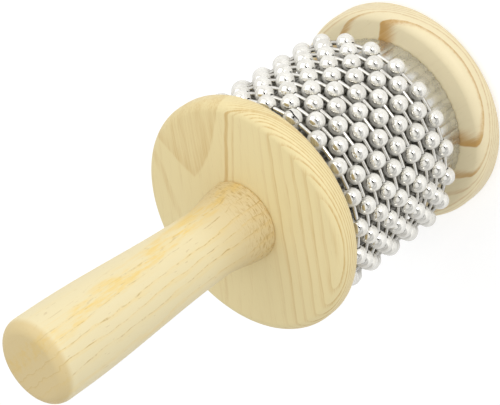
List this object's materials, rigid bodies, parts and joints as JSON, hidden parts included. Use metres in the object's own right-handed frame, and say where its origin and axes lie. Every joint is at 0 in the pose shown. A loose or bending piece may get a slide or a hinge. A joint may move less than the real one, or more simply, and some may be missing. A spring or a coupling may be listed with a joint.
{
  "type": "cabasa",
  "caption": "Hand percussion shaker: loops of steel ball chain turn and slide on a ridged metal drum between two wooden discs, with a turned wooden handle.",
  "frame": {"origin": "middle of the rear disc's flat outer face, on which the instrument stands", "axes": "+Z along the drum's axis from the rear disc to the handle's end; -Y is the side that the loops of chain rest against"},
  "size_m": [0.078, 0.078, 0.1755],
  "materials": {
    "handle_wood": "sanded pine, clear satin",
    "front_disc_wood": "sanded pine, clear satin",
    "rear_disc_wood": "sanded pine, clear satin",
    "inner_wood": "sawn, unfinished",
    "sleeve_steel": "satin, ridged lengthwise",
    "ball_steel": "bright nickel plate",
    "link_steel": "bright nickel plate"
  },
  "bodies": {
    "drum": {"handle": "handle_wood", "front_disc": "front_disc_wood", "core": "inner_wood", "rear_dowel": "inner_wood", "rear_disc": "rear_disc_wood", "ridged_sleeve": "sleeve_steel"},
    "loop_01": {"ball_loop_01": "ball_steel", "closing_ball_01": "ball_steel", "link_loop_01": "link_steel"},
    "loop_02": {"ball_loop_02": "ball_steel", "closing_ball_02": "ball_steel", "link_loop_02": "link_steel"},
    "loop_03": {"ball_loop_03": "ball_steel", "closing_ball_03": "ball_steel", "link_loop_03": "link_steel"},
    "loop_04": {"ball_loop_04": "ball_steel", "closing_ball_04": "ball_steel", "link_loop_04": "link_steel"},
    "loop_05": {"ball_loop_05": "ball_steel", "closing_ball_05": "ball_steel", "link_loop_05": "link_steel"},
    "loop_06": {"ball_loop_06": "ball_steel", "closing_ball_06": "ball_steel", "link_loop_06": "link_steel"},
    "loop_07": {"ball_loop_07": "ball_steel", "closing_ball_07": "ball_steel", "link_loop_07": "link_steel"},
    "loop_08": {"ball_loop_08": "ball_steel", "closing_ball_08": "ball_steel", "link_loop_08": "link_steel"},
    "loop_09": {"ball_loop_09": "ball_steel", "closing_ball_09": "ball_steel", "link_loop_09": "link_steel"},
    "loop_10": {"ball_loop_10": "ball_steel", "closing_ball_10": "ball_steel", "link_loop_10": "link_steel"}
  },
  "joints": [
    {"name": "loop_spin", "type": "hinge", "parent": "drum", "child": "loop_01", "pos_m": [0, 0, 0.07], "axis": [0, 0, 1], "continuous": true},
    {"name": "loop_02_slide", "type": "slide", "parent": "loop_01", "child": "loop_02", "axis": [0, 0, -1], "range_m": [0, 0.00114]},
    {"name": "loop_03_slide", "type": "slide", "parent": "loop_01", "child": "loop_03", "axis": [0, 0, -1], "range_m": [0, 0.00228]},
    {"name": "loop_04_slide", "type": "slide", "parent": "loop_01", "child": "loop_04", "axis": [0, 0, -1], "range_m": [0, 0.00341]},
    {"name": "loop_05_slide", "type": "slide", "parent": "loop_01", "child": "loop_05", "axis": [0, 0, -1], "range_m": [0, 0.00454]},
    {"name": "loop_06_slide", "type": "slide", "parent": "loop_01", "child": "loop_06", "axis": [0, 0, -1], "range_m": [0, 0.00568]},
    {"name": "loop_07_slide", "type": "slide", "parent": "loop_01", "child": "loop_07", "axis": [0, 0, -1], "range_m": [0, 0.00681]},
    {"name": "loop_08_slide", "type": "slide", "parent": "loop_01", "child": "loop_08", "axis": [0, 0, -1], "range_m": [0, 0.00794]},
    {"name": "loop_09_slide", "type": "slide", "parent": "loop_01", "child": "loop_09", "axis": [0, 0, -1], "range_m": [0, 0.00908]},
    {"name": "loop_10_slide", "type": "slide", "parent": "loop_01", "child": "loop_10", "axis": [0, 0, -1], "range_m": [0, 0.0102]}
  ],
  "couplings": [
    {"joint": "loop_02_slide", "follows": "loop_10_slide", "ratio": 0.11111},
    {"joint": "loop_03_slide", "follows": "loop_10_slide", "ratio": 0.22222},
    {"joint": "loop_04_slide", "follows": "loop_10_slide", "ratio": 0.33333},
    {"joint": "loop_05_slide", "follows": "loop_10_slide", "ratio": 0.44444},
    {"joint": "loop_06_slide", "follows": "loop_10_slide", "ratio": 0.55556},
    {"joint": "loop_07_slide", "follows": "loop_10_slide", "ratio": 0.66667},
    {"joint": "loop_08_slide", "follows": "loop_10_slide", "ratio": 0.77778},
    {"joint": "loop_09_slide", "follows": "loop_10_slide", "ratio": 0.88889}
  ]
}
